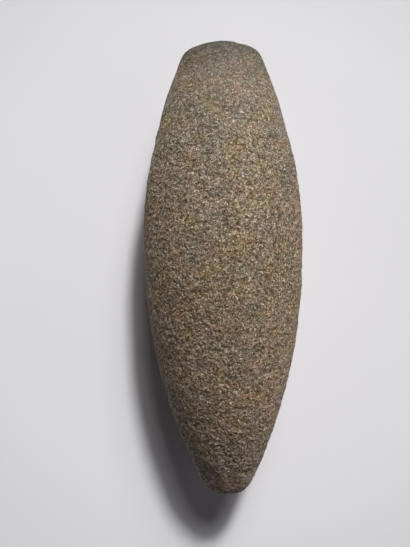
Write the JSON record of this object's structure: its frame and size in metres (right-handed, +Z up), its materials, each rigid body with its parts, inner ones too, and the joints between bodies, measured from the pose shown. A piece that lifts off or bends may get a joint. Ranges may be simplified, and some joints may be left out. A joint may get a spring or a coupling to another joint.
{
  "type": "polished stone axe head",
  "caption": "Spindle-shaped axe head of granular stone, pecked to shape and ground to a curved cutting edge, with a blunt butt for a haft socket.",
  "frame": {"origin": "middle of the underside, on the small flat that the stone rests on, halfway along its length", "axes": "+Y along the stone towards the cutting edge, +Z up as it lies on its broad side, +X to the right seen from above with the cutting edge ahead"},
  "size_m": [0.063, 0.18, 0.0522],
  "materials": {
    "stone": "pecked granular stone, matt brown-grey with light and dark grains, smoother and greyer where the bit is ground"
  },
  "bodies": {
    "root": {"axe_head": "stone"}
  },
  "joints": []
}
